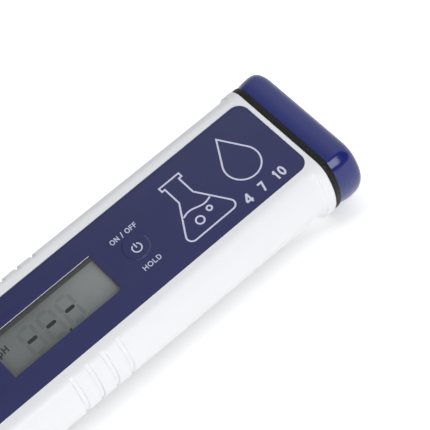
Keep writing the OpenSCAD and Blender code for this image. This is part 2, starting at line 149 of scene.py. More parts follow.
def loft(name, rings, closed=False):
    """A skin over rings of equal length; open lofts are capped at both ends."""
    count = len(rings[0])
    verts = [p for ring in rings for p in ring]
    faces = []
    spans = len(rings) if closed else len(rings) - 1
    for i in range(spans):
        a, b = i * count, ((i + 1) % len(rings)) * count
        for j in range(count):
            k = (j + 1) % count
            faces.append((a + j, a + k, b + k, b + j))
    if not closed:
        faces.append(tuple(reversed(range(count))))
        faces.append(tuple(range(len(verts) - count, len(verts))))
    return make(name, verts, faces)


def lathe(name, profile, centre, axis="Z", steps=96):
    """A solid of revolution; profile is (radius, height) from one pole to the other."""
    rings = []
    for radius, height in profile:
        ring = []
        for i in range(steps):
            turn = 2 * math.pi * i / steps
            u, v = radius * math.cos(turn), radius * math.sin(turn)
            offset = Vector((u, v, height)) if axis == "Z" else Vector((u, -height, v))
            ring.append(centre + offset)
        rings.append(ring)
    return loft(name, rings)


def cylinder(name, radius, low, high, centre, axis="Z", steps=64):
    return lathe(name, [(radius, low), (radius, high)], centre, axis, steps)


def block(name, low, high):
    corners = [Vector((x, y, z)) for z in (low[2], high[2]) for x, y in
               ((low[0], low[1]), (high[0], low[1]), (high[0], high[1]), (low[0], high[1]))]
    return loft(name, [corners[:4], corners[4:]])


def combine(target, tools, operation):
    """Applies boolean tools to target one after another and removes the tools."""
    for tool in tools:
        for thing in (target, tool):
            work = bmesh.new()
            work.from_mesh(thing.data)
            bmesh.ops.recalc_face_normals(work, faces=work.faces)
            work.to_mesh(thing.data)
            work.free()
        modifier = target.modifiers.new("cut", "BOOLEAN")
        modifier.operation = operation
        modifier.solver = "EXACT"
        modifier.object = tool
        graph = bpy.context.evaluated_depsgraph_get()
        result = bpy.data.meshes.new_from_object(target.evaluated_get(graph))
        target.modifiers.clear()
        target.data = result
        bpy.data.objects.remove(tool)
    return target


def arc(centre, radius, start, end, count):
    """Points along an arc in degrees, both ends included."""
    points = []
    for i in range(count):
        turn = math.radians(start + (end - start) * i / (count - 1))
        points.append((centre[0] + radius * math.cos(turn), centre[1] + radius * math.sin(turn)))
    return points


def rounded_rect(w, h, r, steps=10):
    points = []
    for x, y, start in ((1, -1, -90), (1, 1, 0), (-1, 1, 90), (-1, -1, 180)):
        points += arc((x * (w / 2 - r), y * (h / 2 - r)), r, start, start + 90, steps)
    return points


def front_plate(name, outline, near, far):
    """A plate from an outline in X and Z, between two depths."""
    return loft(name, [[Vector((x, y, z)) for x, z in outline] for y in (near, far)])


# ---- The meter's cross-section ----

FLAT_STEPS, BLEND_STEPS, SIDE_STEPS = 24, 9, 48


def outline(inset=0.0, relief=0.0, lean=0.0):
    """The cross-section, inset evenly; relief draws in the round sides and lean moves them forward."""
    side_r = SIDE_R + (PANEL_R - SIDE_R) * relief
    cx, cy = HALF_W - RELIEF * relief - side_r, -lean * relief
    r = side_r - inset
    flat = HALF_D - inset
    blend = max(EDGE_R + (PANEL_EDGE_R - EDGE_R) * relief - inset, 0.4 * MM)
    by = flat - blend
    front_x, back_x = (cx + math.sqrt((r - blend) ** 2 - (by + side * cy) ** 2) for side in (1, -1))
    front_turn = math.degrees(math.atan2(-by - cy, front_x - cx))
    back_turn = math.degrees(math.atan2(by - cy, back_x - cx))
    half = [(front_x * 2 * i / FLAT_STEPS, -flat) for i in range(FLAT_STEPS // 2)]
    half += arc((front_x, -by), blend, -90, front_turn, BLEND_STEPS)[:-1]
    half += arc((cx, cy), r, front_turn, back_turn, SIDE_STEPS)[:-1]
    half += arc((back_x, by), blend, back_turn, 90, BLEND_STEPS)[:-1]
    half += [(back_x - back_x * 2 * i / FLAT_STEPS, flat) for i in range(FLAT_STEPS // 2)]
    half.append((0.0, flat))
    return half + [(-x, y) for x, y in reversed(half[1:-1])]


def ring_at(z, inset=0.0, relief=0.0, lean=0.0):
    return [Vector((x, y, z)) for x, y in outline(inset, relief, lean)]


def ease(value):
    value = min(max(value, 0.0), 1.0)
    return value * value * (3 - 2 * value)


# ---- Housing ----

GROOVE_LEVELS = [LABEL_HIGH.z - GROOVE_DROP - i * GROOVE_PITCH for i in range(GROOVE_COUNT)]
GROOVE_FLOOR = HALF_W - GROOVE_DEPTH - GROOVE_CENTRE


def grooved(ring, lean):
    """Draws the side of a ring in where a grip groove passes."""
    result = []
    for point in ring:
        side = 1 if point.x > 0 else -1
        arm = Vector((abs(point.x) - GROOVE_CENTRE, point.y + lean))
        reach = arm.length
        off_centre = min(abs(point.z - level) for level in GROOVE_LEVELS)
        floor = GROOVE_FLOOR + max(off_centre - GROOVE_FLOOR_W / 2, 0.0) / GROOVE_FLANK
        if arm.x > 0 and floor < reach:
            blend = 0.05 * MM
            drop = reach - floor
            reach -= drop * drop / (drop + blend)
            arm = arm.normalized() * reach
            point = Vector((side * (GROOVE_CENTRE + arm.x), arm.y - lean, point.z))
        result.append(point)
    return result


def lean_at(z):
    """How far forward the side panels' centre lies at a level."""
    low, high = HOUSING_LOW.z, HOUSING_HIGH.z
    lean = LEAN_TOP + (LEAN_LOW - LEAN_TOP) * min((high - z) / LEAN_RUN, 1.0)
    return lean * ease((z - low - LEAN_END) / LEAN_FADE)


def housing_rings():
    low, high = HOUSING_LOW.z, HOUSING_HIGH.z
    rim, step, plain, groove_reach = 0.28 * MM, 0.32 * MM, 4 * MM, 1.2 * MM
    top_groove, bottom_groove = GROOVE_LEVELS[0] + groove_reach, GROOVE_LEVELS[-1] - groove_reach
    turns = [math.pi / 2 * i / 4 for i in range(5)]
    levels = [(low + rim * (1 - math.cos(turn)), rim * (1 - math.sin(turn))) for turn in turns]
    levels += [(low + COLLAR - step / 2 + step * i / 8, 0.0) for i in range(9)]
    z = low + COLLAR + step
    while z < bottom_groove - plain:
        levels.append((z, 0.0))
        z += plain
    count = 200
    levels += [(bottom_groove + (top_groove - bottom_groove) * i / count, 0.0) for i in range(count + 1)]
    z = top_groove + plain
    while z < high - COLLAR - step:
        levels.append((z, 0.0))
        z += plain
    levels += [(high - COLLAR - step / 2 + step * i / 8, 0.0) for i in range(9)]
    levels += [(high - rim * (1 - math.sin(turn)), rim * (1 - math.cos(turn))) for turn in turns]
    rings = []
    for z, inset in levels:
        from_collar = min(z - (low + COLLAR - step / 2), (high - COLLAR + step / 2) - z)
        lean = lean_at(z)
        rings.append(grooved(ring_at(z, inset, ease(from_collar / step), lean), lean))
    lead, thin, run = 0.25 * MM, 1.1 * MM, 3 * MM
    rings += [ring_at(high, WALL - lead), ring_at(high - lead, WALL), ring_at(high - COLLAR, WALL)]
    count = 20
    for i in range(count + 1):
        z = high - COLLAR - run - (high - low - 2 * (COLLAR + run)) * i / count
        rings.append(ring_at(z, thin, 1.0, lean_at(z)))
    return rings + [ring_at(low + COLLAR, WALL), ring_at(low, WALL)]


def build_housing():
    shell = loft("housing_shell", housing_rings(), closed=True)
    posts = []
    post_top = CAP_LOW.z - 0.1 * MM
    post_low = SCREW_LOW.z - 2.4 * MM
    web_half_w, web_half_d = 1.5 * MM, 1.2 * MM
    for centre in SCREW_AXES:
        posts.append(cylinder("post", POST_R, post_low, post_top, centre))
        web = centre.x + math.copysign(web_half_w, centre.x)
        posts.append(block("web", (web - web_half_w, -web_half_d, post_low),
                           (web + web_half_w, web_half_d, post_top)))
    combine(shell, posts, "UNION")
    margin = 0.01 * MM
    label_w, label_h = LABEL_HIGH.x - LABEL_LOW.x, LABEL_HIGH.z - LABEL_LOW.z
    label_z = (LABEL_LOW.z + LABEL_HIGH.z) / 2
    recess = [(x, z + label_z) for x, z in
              rounded_rect(label_w + 2 * margin, label_h + 2 * margin, LABEL_R + margin)]
    pane = rect_outline(PANE_LOW, PANE_HIGH, CLEAR)
    opening = rect_outline(PANE_LOW, PANE_HIGH, 0.3 * MM - WINDOW_MARGIN)
    cuts = [
        front_plate("recess", recess, FRONT - CUT, LABEL_HIGH.y),
        front_plate("rebate", pane, FRONT - 0.9 * CUT, PANE_HIGH.y + 0.16 * MM),
        front_plate("opening", opening, FRONT - 0.8 * CUT, FRONT + WALL + CUT),
        cylinder("key_bore", KEY_HIGH.x + CLEAR, -(FRONT + WALL + CUT / 2), -(FRONT - CUT),
                 Vector((0, 0, KEY_CENTRE.z)), "Y"),
        cylinder("cal_bore", KEY_HIGH.x + CLEAR, -(BACK + CUT), -(BACK - WALL - CUT / 2),
                 Vector((0, 0, CAL_CENTRE.z)), "Y"),
    ]
    floor = 1 * MM
    cuts += [cylinder("pilot", PILOT_R, post_low + floor, post_top + CUT, c, steps=32) for c in SCREW_AXES]
    combine(shell, cuts, "DIFFERENCE")
    return soften(shell, 28)


def rect_outline(low, high, margin):
    return [(low.x - margin, low.z - margin), (high.x + margin, low.z - margin),
            (high.x + margin, high.z + margin), (low.x - margin, high.z + margin)]


# ---- Caps and gasket ----


def leaning_ring(z, front_in, back_in):
    """A ring whose inset changes from the front's to the back's."""
    reach = 4 * MM
    ring = []
    for near, far in zip(ring_at(z, front_in), ring_at(z, back_in)):
        ring.append(near.lerp(far, ease((near.y + reach) / (2 * reach))))
    return ring


CROWN_SQUARE = 1.5  # makes the crown's ends squarer than its faces


def crown_ring(z, end_in, front_in, back_in):
    """The cross-section drawn in by one amount each at its ends, its front and its back."""
    ring = []
    for p in ring_at(z):
        face_in = front_in if p.y < 0 else back_in
        ring.append(Vector((p.x * (1 - end_in / HALF_W), p.y * (1 - face_in / HALF_D), z)))
    return ring


def build_battery_cap():
    bottom, top = GASKET_HIGH.z, CAP_HIGH.z
    crown, crown_in, bevel = 3.0 * MM, 3.8 * MM, 0.3 * MM
    end_in, back_crown_in = 2.3 * MM, 1.6 * MM
    belly, belly_in, back_belly_in = 3.0 * MM, 0.34 * MM, 0.6 * MM
    rings = [leaning_ring(bottom, bevel + belly_in, bevel + back_belly_in),
             leaning_ring(bottom + bevel * 0.3, bevel * 0.3 + belly_in, bevel * 0.3 + back_belly_in)]
    for i in range(9):
        t = i / 8
        rings.append(leaning_ring(bottom + bevel + (belly - bevel) * t, belly_in * (1 - t) ** 2,
                                  back_belly_in * (1 - t) ** 2))
    steps = 18
    for i in range(steps + 1):
        turn = math.pi / 2 * i / steps
        share = 1 - math.cos(turn)
        z = top - crown * (1 - math.sin(turn))
        rings.append(crown_ring(z, end_in * share ** CROWN_SQUARE, crown_in * share, back_crown_in * share))
    shell = loft("battery_cap_shell", rings)
    cavity_inset, ceiling, boss_r = WALL + 1.3 * MM, bottom + 2.8 * MM, 3.2 * MM
    cavity = loft("cavity", [ring_at(bottom - CUT, cavity_inset), ring_at(ceiling, cavity_inset)])
    bosses = [cylinder("boss", boss_r, bottom - 2 * CUT, ceiling + CUT, c) for c in SCREW_AXES]
    combine(cavity, bosses, "DIFFERENCE")
    combine(shell, [cavity], "DIFFERENCE")
    spigot_in, lead, root = WALL + 0.1 * MM, 0.2 * MM, bottom + 0.5 * MM
    spigot = loft("spigot", [
        ring_at(CAP_LOW.z, spigot_in + lead), ring_at(CAP_LOW.z + lead, spigot_in),
        ring_at(root, spigot_in), ring_at(root, cavity_inset),
        ring_at(CAP_LOW.z, cavity_inset)], closed=True)
    columns = [cylinder("column", POST_R, CAP_LOW.z, root, c) for c in SCREW_AXES]
    combine(shell, [spigot] + columns, "UNION")
    holes = []
    for c in SCREW_AXES:
        holes.append(cylinder("bore", PILOT_R, CAP_LOW.z - CUT, top + CUT, c, steps=32))
        chamfer = 0.25 * MM
        holes.append(lathe("seat", [(HEAD_R, SCREW_HIGH.z - HEAD_H), (HEAD_R, top - chamfer),
                                    (HEAD_R + 2 * chamfer, top + chamfer)], c))
    combine(shell, holes, "DIFFERENCE")
    return soften(shell, 30)


def build_gasket():
    low, high = GASKET_LOW.z, GASKET_HIGH.z
    outer, inner, lip = 0.12 * MM, WALL, 0.16 * MM
    rings = []
    for i in range(7):
        turn = math.pi * (i / 6 - 0.5)
        rings.append(ring_at((low + high) / 2 + (high - low) / 2 * math.sin(turn),
                             outer + lip * (1 - math.cos(turn)) ** 2))
    rings += [ring_at(high, inner), ring_at(low, inner)]
    return soften(loft("gasket_ring", rings, closed=True), 40)


def build_sensor_cap():
    low, high = SENSOR_CAP_LOW.z, SENSOR_CAP_HIGH.z
    foot, foot_in, rim = 2.4 * MM, 1.7 * MM, 0.3 * MM
    rings = []
    steps = 12
    for i in range(steps + 1):
        turn = math.pi / 2 * i / steps
        rings.append(ring_at(low + foot * (1 - math.cos(turn)), foot_in * (1 - math.sin(turn))))
    rings += [ring_at(low + (high - low) / 2), ring_at(high - rim),
              ring_at(high - rim * 0.3, rim * 0.3), ring_at(high, rim)]
    wall, lead, corner = 1.6 * MM, 0.2 * MM, 0.8 * MM
    floor = SPONGE_LOW.z - CLEAR
    rings += [ring_at(high, wall - lead), ring_at(high - lead, wall),
              ring_at(floor + corner, wall), ring_at(floor, wall + corner)]
    return soften(loft("protective_cap_shell", rings), 40)


# ---- Label, window and key ----


def build_label():
    near, far = LABEL_LOW.y, LABEL_HIGH.y
    w, h = LABEL_HIGH.x - LABEL_LOW.x, LABEL_HIGH.z - LABEL_LOW.z
    z = (LABEL_LOW.z + LABEL_HIGH.z) / 2
    edge = 0.05 * MM

    def loop(margin, y):
        return [Vector((px, y, pz + z)) for px, pz in
                rounded_rect(w - 2 * margin, h - 2 * margin, LABEL_R - margin, 16)]

    film = loft("label_film", [loop(edge, near), loop(edge * 0.3, near + edge * 0.3),
                               loop(0, near + edge), loop(0, far)])
    window = rect_outline(PANE_LOW, PANE_HIGH, -WINDOW_MARGIN)
    hole = cylinder("hole", KEY_HIGH.x + 0.2 * CLEAR, -(far + CUT), -(near - CUT),
                    Vector((0, 0, KEY_CENTRE.z)), "Y", 96)
    combine(film, [front_plate("window", window, near - CUT, far + CUT), hole], "DIFFERENCE")
    return soften(film, 25)


def build_key():
    """The raised membrane key: a flat disc with a pillow edge."""
    radius = KEY_HIGH.x
    bottom, level, top = KEY_HIGH.y, LABEL_LOW.y + 0.01 * MM, KEY_LOW.y
    profile = [(PIN, 0), (radius, 0), (radius, bottom - level)]
    steps, swell = 8, 0.8
    for i in range(steps + 1):
        t = i / steps
        rise = t ** swell * (1 + swell - swell * t)
        profile.append((radius - KEY_SHOULDER * t, bottom - level + (level - top) * rise))
    profile.append((PIN, bottom - top))
    centre = Vector((0, bottom, KEY_CENTRE.z))
    return soften(lathe("power_key_dome", profile, centre, "Y", 128), 50)


# ---- Ink: ribbons drawn in reading coordinates (u along +Z, v towards -X) ----


def ribbon(points, width, closed=False):
    """Left and right rails of a stroke of even width, mitred at its bends."""
    count = len(points)
    rails = []
    for i, (x, y) in enumerate(points):
        before = points[i - 1] if (i > 0 or closed) else None
        after = points[(i + 1) % count] if (i < count - 1 or closed) else None
        sides = []
        for a, b in ((before, (x, y)), ((x, y), after)):
            if a is None or b is None:
                continue
            d = Vector((b[0] - a[0], b[1] - a[1])).normalized()
            sides.append(Vector((-d.y, d.x)))
        normal = sides[0] if len(sides) == 1 else (sides[0] + sides[1]).normalized()
        scale = width / 2 / max(normal.dot(sides[0]), 0.35)
        rails.append((Vector((x, y)) + normal * scale, Vector((x, y)) - normal * scale))
    return rails


def ink_strokes(name, strokes, width, origin, near, thickness=INK):
    """Prints strokes as thin raised ribbons; origin is (x, z) of u = 0, v = 0."""
    verts, faces = [], []
    for order, (points, closed) in enumerate(strokes):
        rails = ribbon(points, width, closed)
        base = len(verts)
        proud = thickness * (1 + 0.3 * (order % 3))
        for left, right in rails:
            for p in (left, right):
                for depth in (near - proud, near + 0.3 * proud):
                    verts.append(Vector((origin[0] - p.y, depth, origin[1] + p.x)))
        total = len(rails)
        for i in range(total if closed else total - 1):
            a, b = base + 4 * i, base + 4 * ((i + 1) % total)
            for c, d in ((0, 2), (2, 3), (3, 1), (1, 0)):
                faces.append((a + c, a + d, b + d, b + c))
        if not closed:
            last = base + 4 * (total - 1)
            faces.append((base, base + 1, base + 3, base + 2))
            faces.append((last, last + 2, last + 3, last + 1))
    return soften(make(name, verts, faces), 30)


def ellipse(cx, cy, rx, ry, start=0, end=360, count=40):
    points = []
    for i in range(count):
        turn = math.radians(start + (end - start) * i / (count if end - start == 360 else count - 1))
        points.append((cx + rx * math.cos(turn), cy + ry * math.sin(turn)))
    return points


def stroke(*points):
    return list(points), False


def glyph(letter, s):
    """Strokes and advance width of one character of height 1; s is the stroke width."""
    h = s / 2
    stem = stroke((h, 0), (h, 1))
    bowl = [(h, h)] + ellipse(0.28, 0.5, 0.42 - h, 0.5 - h, -90, 90, 24) + [(h, 1 - h)]
    shapes = {
        "O": (0.88, (ellipse(0.44, 0.5, 0.44 - h, 0.51 - h), True)),
        "0": (0.62, (ellipse(0.31, 0.5, 0.31 - h, 0.5 - h), True)),
        "N": (0.74, stem, stroke((h, 1 - h), (0.74 - h, h)), stroke((0.74 - h, 0), (0.74 - h, 1))),
        "F": (0.6, stem, stroke((0, 1 - h), (0.6, 1 - h)), stroke((h, 0.52), (0.54, 0.52))),
        "H": (0.72, stem, stroke((0.72 - h, 0), (0.72 - h, 1)), stroke((h, 0.52), (0.72 - h, 0.52))),
        "L": (0.56, stem, stroke((0, h), (0.56, h))),
        "D": (0.72, (bowl, True)),
        "/": (0.34, stroke((0, -0.08), (0.34, 1.08))),
        "p": (0.62, stroke((h, -0.3), (h, 0.72)), (ellipse(0.3, 0.36, 0.3 - h, 0.37 - h), True)),
        "1": (0.44, stroke((0.08, 0.72), (0.36 - h, 1 - h * 1.4)), stroke((0.36 - h, 0), (0.36 - h, 1))),
        "4": (0.72, stroke((0.52, 0), (0.52, 1)), stroke((0.5, 0.94), (0.04, 0.3)),
              stroke((0, 0.26), (0.72, 0.26))),
        "7": (0.58, stroke((0, 1 - h), (0.58 - h, 1 - h), (0.2, 0))),
        " ": (0.3,),
    }
    return shapes[letter]


def ink_text(name, text, height, weight, origin, near, spacing=0.16, length=None):
    """A line of text that reads along +Z, its capitals rising towards -X."""
    pen, strokes = 0.0, []
    for letter in text:
        advance, *parts = glyph(letter, weight)
        for points, closed in parts:
            strokes.append(([((pen + x) * height, y * height) for x, y in points], closed))
        pen += advance + spacing
    natural = (pen - spacing) * height
    if length:
        stretch = length / natural
        strokes = [([(x * stretch, y) for x, y in points], closed) for points, closed in strokes]
    return ink_strokes(name, strokes, weight * height, origin, near)


def teardrop(width, height, count=48):
    """A drop with its point up, centred on u = 0 and standing on v = 0."""
    r = width / 2
    points = []
    rise = math.degrees(math.asin(r / (height - r)))
    points += ellipse(0, r, r, r, 180 - rise, 360 + rise, count)
    points.append((0, height))
    return points


def flask(width, height):
    """A conical flask's outline, centred on u = 0 and standing on v = 0."""
    neck, lip, r = width * 0.15, width * 0.21, width * 0.10
    shoulder, mouth = height * 0.62, height * 0.93
    lean = math.degrees(math.atan2(shoulder - r, width / 2 - neck))
    points = [(-lip, height), (-lip, mouth), (-neck, mouth), (-neck, shoulder)]
    points += arc((r - width / 2, r), r, 90 + lean, 270, 10)
    return points + [(-x, y) for x, y in reversed(points)]


# ---- Printing on the label ----

WINDOW_TOP = PANE_HIGH.z - WINDOW_MARGIN
WINDOW_LOW = PANE_LOW.z + WINDOW_MARGIN
WINDOW_HALF = PANE_HIGH.x - WINDOW_MARGIN
END_GAP = 0.10 * MM


def build_prints():
    face = LABEL_LOW.y
    key_z = KEY_CENTRE.z
    fine = 0.155
    prints = [
        ink_text("print_on_off", "ON / OFF", 1.05 * MM, fine, (-3.08 * MM, key_z - 3.0 * MM), face,
                 length=6.0 * MM),
        ink_text("print_hold", "HOLD", 1.02 * MM, fine, (4.95 * MM, key_z - 2.02 * MM), face,
                 length=4.0 * MM),
    ]
    top = LABEL_HIGH.z
    line = 0.33 * MM
    shapes = [(flask(11.2 * MM, 12.6 * MM), True)]
    level, reach, swell, steps = 4.9 * MM, 3.15 * MM, 0.35 * MM, 24
    wave = []
    for i in range(steps + 1):
        wave.append((-reach + 2 * reach * i / steps, level + swell * math.sin(2 * math.pi * i / steps)))
    shapes.append((wave, False))
    shapes.append((ellipse(-1.3 * MM, 2.5 * MM, 0.8 * MM, 0.8 * MM, count=28), True))
    shapes.append((ellipse(1.5 * MM, 3.2 * MM, 0.5 * MM, 0.5 * MM, count=24), True))
    prints.append(ink_strokes("print_flask", shapes, line, (6.6 * MM, top - 20.6 * MM), face))
    drop = [([(x, y) for x, y in teardrop(7.2 * MM, 10.6 * MM)], True)]
    prints.append(ink_strokes("print_drop", drop, line, (4.2 * MM, top - 8.6 * MM), face))
    prints.append(ink_text("print_scale", "4  7  10", 2.1 * MM, 0.19, (8.0 * MM, top - 13.6 * MM), face,
                           length=9.6 * MM))
    icon_r, gap = 0.90 * MM, 30
    ring = ellipse(0, 0, icon_r, icon_r, 90 + gap, 450 - gap, 44)
    stem = [(0, 0.02 * MM), (0, 1.1 * MM)]
    icon = ink_strokes("print_power_icon", [(ring, False), (stem, False)], 0.25 * MM,
                       (0.32 * MM, key_z - 0.05 * MM), KEY_LOW.y)
    return prints, icon


def capsule(cx, cy, length, width, steps=8):
    half = length / 2 - width / 2
    right = arc((cx + half, cy), width / 2, -90, 90, steps)
    left = arc((cx - half, cy), width / 2, 90, 270, steps)
    return right + left


def flat_shape(name, loops, near, thickness, origin):
    """Thin filled shapes from loops in reading coordinates."""
    verts, faces = [], []
    for points in loops:
        base, count = len(verts), len(points)
        for depth in (near - thickness, near + thickness):
            verts += [Vector((origin[0] - y, depth, origin[1] + x)) for x, y in points]
        faces.append(tuple(base + i for i in range(count)))
        faces.append(tuple(base + count + i for i in reversed(range(count))))
        for i in range(count):
            k = (i + 1) % count
            faces.append((base + i, base + count + i, base + count + k, base + k))
    return soften(make(name, verts, faces), 30)


DIGIT_W, DIGIT_H, SEGMENT_W, DIGIT_PITCH = 2.3 * MM, 5.6 * MM, 0.74 * MM, 4.28 * MM


def digit_segments(cx):
    """The six outer segments of a digit, without its middle one."""
    half, gap = DIGIT_W / 2, 0.18 * MM
    quarter = DIGIT_H / 4
    loops = []
    for v in (-DIGIT_H / 2, DIGIT_H / 2):
        loops.append(capsule(cx, v, DIGIT_W - 2 * gap, SEGMENT_W))
    for u in (cx - half - 0.25 * MM, cx + half + 0.25 * MM):
        for v in (-quarter, quarter):
            loops.append([(u - y, v + x) for x, y in capsule(0, 0, DIGIT_H / 2 - 2 * gap, SEGMENT_W)])
    return loops


def build_display():
    near = LCD_LOW.y
    thickness = 0.012 * MM
    middle_z = LABEL_HIGH.z - 53.9 * MM
    origin = (0.2 * MM, middle_z)
    centres = [-DIGIT_PITCH, 0, DIGIT_PITCH]
    dashes = [capsule(c, 0, 2.15 * MM, SEGMENT_W) for c in centres]
    point = [capsule(DIGIT_PITCH * 0.42, -3.3 * MM, 0.6 * MM, 0.55 * MM)]
    lit = flat_shape("display_dashes", dashes + point, near, thickness, origin)
    ghosts = flat_shape("display_ghost_digits", [loop for c in centres for loop in digit_segments(c)],
                        near, thickness * 0.5, origin)
    unit = ink_text("display_unit", "pH", 1.45 * MM, 0.19, (-1.0 * MM, middle_z - 10.6 * MM), near,
                    spacing=0.14)
    return lit, ghosts, unit


def build_pane():
    near, far = PANE_LOW.y, PANE_HIGH.y
    edge = 0.05 * MM
    low = Vector((PANE_LOW.x, 0, WINDOW_LOW - END_GAP))
    high = Vector((PANE_HIGH.x, 0, WINDOW_TOP + END_GAP))
    rings = []
    for margin, y in ((-edge, near), (0, near + edge), (0, far - edge), (-edge, far)):
        rings.append([Vector((x, y, z)) for x, z in rect_outline(low, high, margin)])
    return soften(loft("window_pane", rings), 30)


def build_surround():
    """The dark frame between the pane and the display: stepped long sides and pale solid ends."""
    low, high = box("window_frame")
    frame_t, lip_t = 0.15 * MM, 0.25 * MM
    surround = front_plate("window_surround", rect_outline(PANE_LOW, PANE_HIGH, 0), low.y, low.y + frame_t)
    extras = [front_plate("lip", rect_outline(PANE_LOW, PANE_HIGH, lip_t - WINDOW_MARGIN),
                          low.y + frame_t / 2, high.y)]
    bar_in = END_GAP + CLEAR / 2
    for start, end in ((PANE_LOW.z, WINDOW_LOW - bar_in), (WINDOW_TOP + bar_in, PANE_HIGH.z)):
        extras.append(block("bar", (PANE_LOW.x, LABEL_HIGH.y + CLEAR / 2, start),
                            (PANE_HIGH.x, low.y + frame_t / 2, end)))
    combine(surround, extras, "UNION")
    stairs = 3
    holes = []
    for i in range(stairs + 1):
        half = WINDOW_HALF - 0.1 * MM * i
        deep = low.y + (high.y - low.y) * (i + 0.4) / stairs if i < stairs else high.y + CUT
        corners = [(-half, WINDOW_LOW), (half, WINDOW_LOW), (half, WINDOW_TOP), (-half, WINDOW_TOP)]
        holes.append(front_plate("hole", corners, low.y - CUT, deep))
    return soften(combine(surround, holes, "DIFFERENCE"), 30)


def build_calibration_key():
    """A recessed rubber key with a dished face, its flange and its stem."""
    low, high = CAL_LOW.y, CAL_HIGH.y
    r = KEY_HIGH.x
    flange_r = CAL_HIGH.x
    inside = BACK - WALL
    centre = Vector((0, 0, CAL_CENTRE.z))
    stem_r, flange, edge, dish = 1.2 * MM, 0.40 * MM, 0.35 * MM, 0.22 * MM
    seat = inside - CLEAR
    profile = [(PIN, low), (stem_r, low), (stem_r, seat - flange),
               (flange_r, seat - flange), (flange_r, seat), (r, seat)]
    for i in range(5):
        turn = math.pi / 2 * i / 4
        profile.append((r - edge * (1 - math.cos(turn)), high - edge * (1 - math.sin(turn))))
    for i in range(1, 7):
        t = i / 6
        profile.append(((r - edge) * (1 - t) + PIN * t, high - dish * ease(t * 1.4)))
    mirrored = [(radius, -y) for radius, y in profile]
    return soften(lathe("calibration_key_boot", mirrored, centre, "Y", 96), 40)


def build_sponge():
    """Damp storage sponge: a soft block with a porous skin."""
    low, high = SPONGE_LOW.z, SPONGE_HIGH.z
    inset, corner, steps = 1.9 * MM, 0.6 * MM, 10
    rings = [ring_at(low, inset + corner), ring_at(low + corner, inset)]
    for i in range(1, steps):
        rings.append(ring_at(low + corner + (high - low - 2 * corner) * i / steps, inset))
    rings.append(ring_at(high - 0.5 * MM, inset + 0.1 * MM))
    rings += [ring_at(high, inset + corner * i) for i in range(1, 9)]
    return soften(loft("sponge_block", rings), 60)


# ---- Materials ----


class Nodes:
    """Small helper for building the nodes of a material or of the world."""

    def __init__(self, name, owners=bpy.data.materials, output="ShaderNodeOutputMaterial", place="Object"):
        self.material = owners.new(name)
        self.material.use_nodes = True
        self.tree = self.material.node_tree
        self.tree.nodes.clear()
        self.out = self.tree.nodes.new(output)
        self.place = self.tree.nodes.new("ShaderNodeTexCoord").outputs[place]

    def add(self, kind, **values):
        node = self.tree.nodes.new(kind)
        for key, value in values.items():
            if hasattr(node, key):
                setattr(node, key, value)
            else:
                self.put(node.inputs[key.replace("_", " ")], value)
        return node

    def put(self, socket, value):
        if isinstance(value, bpy.types.NodeSocket):
            self.tree.links.new(value, socket)
        else:
            socket.default_value = value

    def noise(self, scale, detail=4.0, rough=0.55, stretch=(1, 1, 1)):
        mapping = self.add("ShaderNodeMapping", Vector=self.place, Scale=stretch)
        return self.add("ShaderNodeTexNoise", Vector=mapping.outputs[0], Scale=scale, Detail=detail,
                        Roughness=rough).outputs["Fac"]

    def ramp(self, value, low, high):
        return self.window(value, 0.0, 1.0, low, high)

    def window(self, value, start, end, low=0.0, high=1.0, blend="LINEAR"):
        node = self.add("ShaderNodeMapRange", Value=value, interpolation_type=blend)
        for key, number in (("From Min", start), ("From Max", end), ("To Min", low), ("To Max", high)):
            node.inputs[key].default_value = number
        return node.outputs[0]

    def mix(self, factor, a, b):
        node = self.add("ShaderNodeMix", data_type="RGBA")
        for index, value in ((0, factor), (6, a), (7, b)):
            self.put(node.inputs[index], value)
        return node.outputs[2]

    def math(self, operation, a, b=0.0):
        node = self.add("ShaderNodeMath", operation=operation)
        self.put(node.inputs[0], a)
        self.put(node.inputs[1], b)
        return node.outputs[0]

    def bump(self, height, strength, distance):
        return self.add("ShaderNodeBump", Height=height, Strength=strength, Distance=distance).outputs[0]

    def edges(self, low=0.52, high=0.62):
        """Picks out edges: convex ones above a pointiness of a half, hollow ones below it."""
        geometry = self.tree.nodes.new("ShaderNodeNewGeometry")
        return self.window(geometry.outputs["Pointiness"], low, high)

    def finish(self, shader):
        self.put(self.out.inputs[0], shader.outputs[0])
        return self.material

    def surface(self, **values):
        return self.finish(self.add("ShaderNodeBsdfPrincipled", **values))


def rgb(r, g, b):
    return (r, g, b, 1.0)


def shade(color, factor):
    return rgb(*[min(c * factor, 1.0) for c in color[:3]])


def moulded(name, color, roughness, grain=0.0, grain_scale=2500.0, spread=0.05, wear=0.0):
    """Injection-moulded plastic: slight colour drift, uneven gloss, fine moulded grain and rubbed edges."""
    n = Nodes(name)
    drift = n.noise(90.0, 3.0)
    base = n.mix(drift, shade(color, 1 - spread), shade(color, 1 + spread))
    if wear:
        rub = n.math("MULTIPLY", n.edges(), n.ramp(n.noise(900.0, 6.0), 0.0, wear))
        base = n.mix(rub, base, shade(color, 1.8))
    scuff = n.window(n.noise(350.0, 8.0, 0.7, (1, 1, 0.25)), 0.55, 0.75, roughness, roughness + 0.12)
    normal = n.bump(n.noise(grain_scale, 2.0), grain, 0.00002)
    return n.surface(Base_Color=base, Roughness=scuff, Normal=normal, IOR=1.5)


